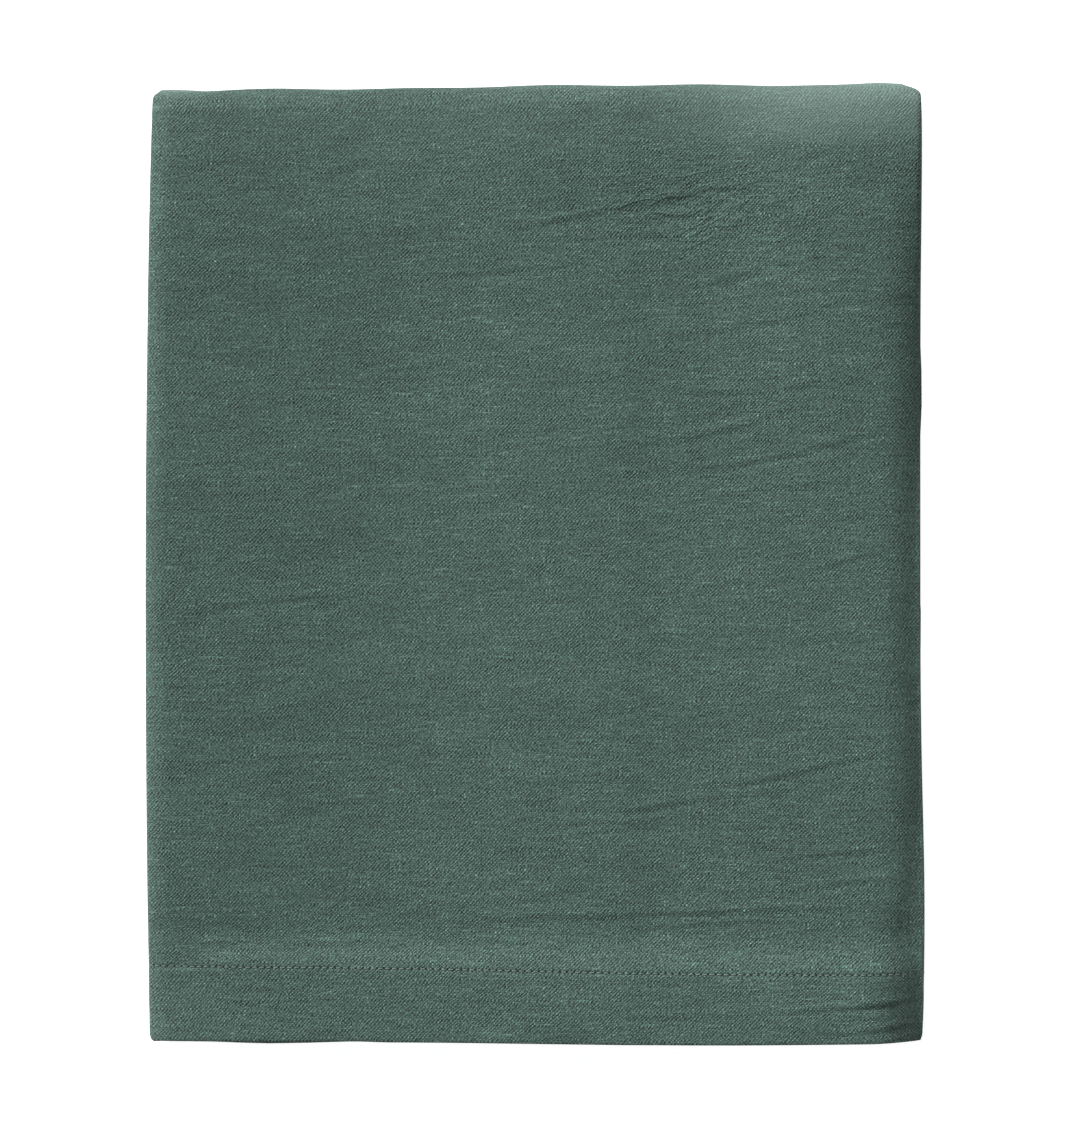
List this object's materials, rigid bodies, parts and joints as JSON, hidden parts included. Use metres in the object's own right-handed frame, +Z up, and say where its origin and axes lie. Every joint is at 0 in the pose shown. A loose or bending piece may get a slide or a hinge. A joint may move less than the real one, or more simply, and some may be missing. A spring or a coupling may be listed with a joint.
{
  "type": "folded tablecloth",
  "caption": "Plain-weave green tablecloth with stitched double-turned hems, folded to a flat rectangular packet that opens like a book at its last fold.",
  "frame": {"origin": "middle of the folded packet's underside, at table level", "axes": "+X across the packet towards the rounded side fold, +Y along the packet from the hemmed edge towards the last fold, +Z up"},
  "size_m": [0.364, 0.449, 0.0246],
  "materials": {
    "cloth": "washed plain weave, matt",
    "thread": "sewing thread with a slight sheen"
  },
  "bodies": {
    "lower_half": {"back_crease_rows_1_2_lower": "cloth", "back_crease_rows_3_4_lower": "cloth", "crease_a2_b2": "cloth", "crease_a3_b3": "cloth", "crease_b2_c2": "cloth", "crease_b3_c3": "cloth", "crease_c2_d2": "cloth", "crease_c3_d3": "cloth", "front_crease_rows_2_3": "cloth", "left_side_hem_lower": "cloth", "left_side_stitching_lower": "thread", "panel_a2": "cloth", "panel_a3": "cloth", "panel_b2": "cloth", "panel_b3": "cloth", "panel_c2": "cloth", "panel_c3": "cloth", "panel_d2": "cloth", "panel_d3": "cloth", "right_side_hem_lower": "cloth", "right_side_stitching_lower": "thread"},
    "upper_half": {"back_crease_rows_1_2_upper": "cloth", "back_crease_rows_3_4_upper": "cloth", "crease_a1_b1": "cloth", "crease_a4_b4": "cloth", "crease_b1_c1": "cloth", "crease_b4_c4": "cloth", "crease_c1_d1": "cloth", "crease_c4_d4": "cloth", "far_end_hem": "cloth", "far_end_stitching": "thread", "left_side_hem_upper": "cloth", "left_side_stitching_upper": "thread", "near_end_hem": "cloth", "near_end_stitching": "thread", "panel_a1": "cloth", "panel_a4": "cloth", "panel_b1": "cloth", "panel_b4": "cloth", "panel_c1": "cloth", "panel_c4": "cloth", "panel_d1": "cloth", "panel_d4": "cloth", "right_side_hem_upper": "cloth", "right_side_stitching_upper": "thread"}
  },
  "joints": [
    {"name": "last_fold", "type": "hinge", "parent": "lower_half", "child": "upper_half", "pos_m": [0, 0.22465, 0.01225], "axis": [-1, 0, 0], "range_deg": [0, 180]}
  ]
}
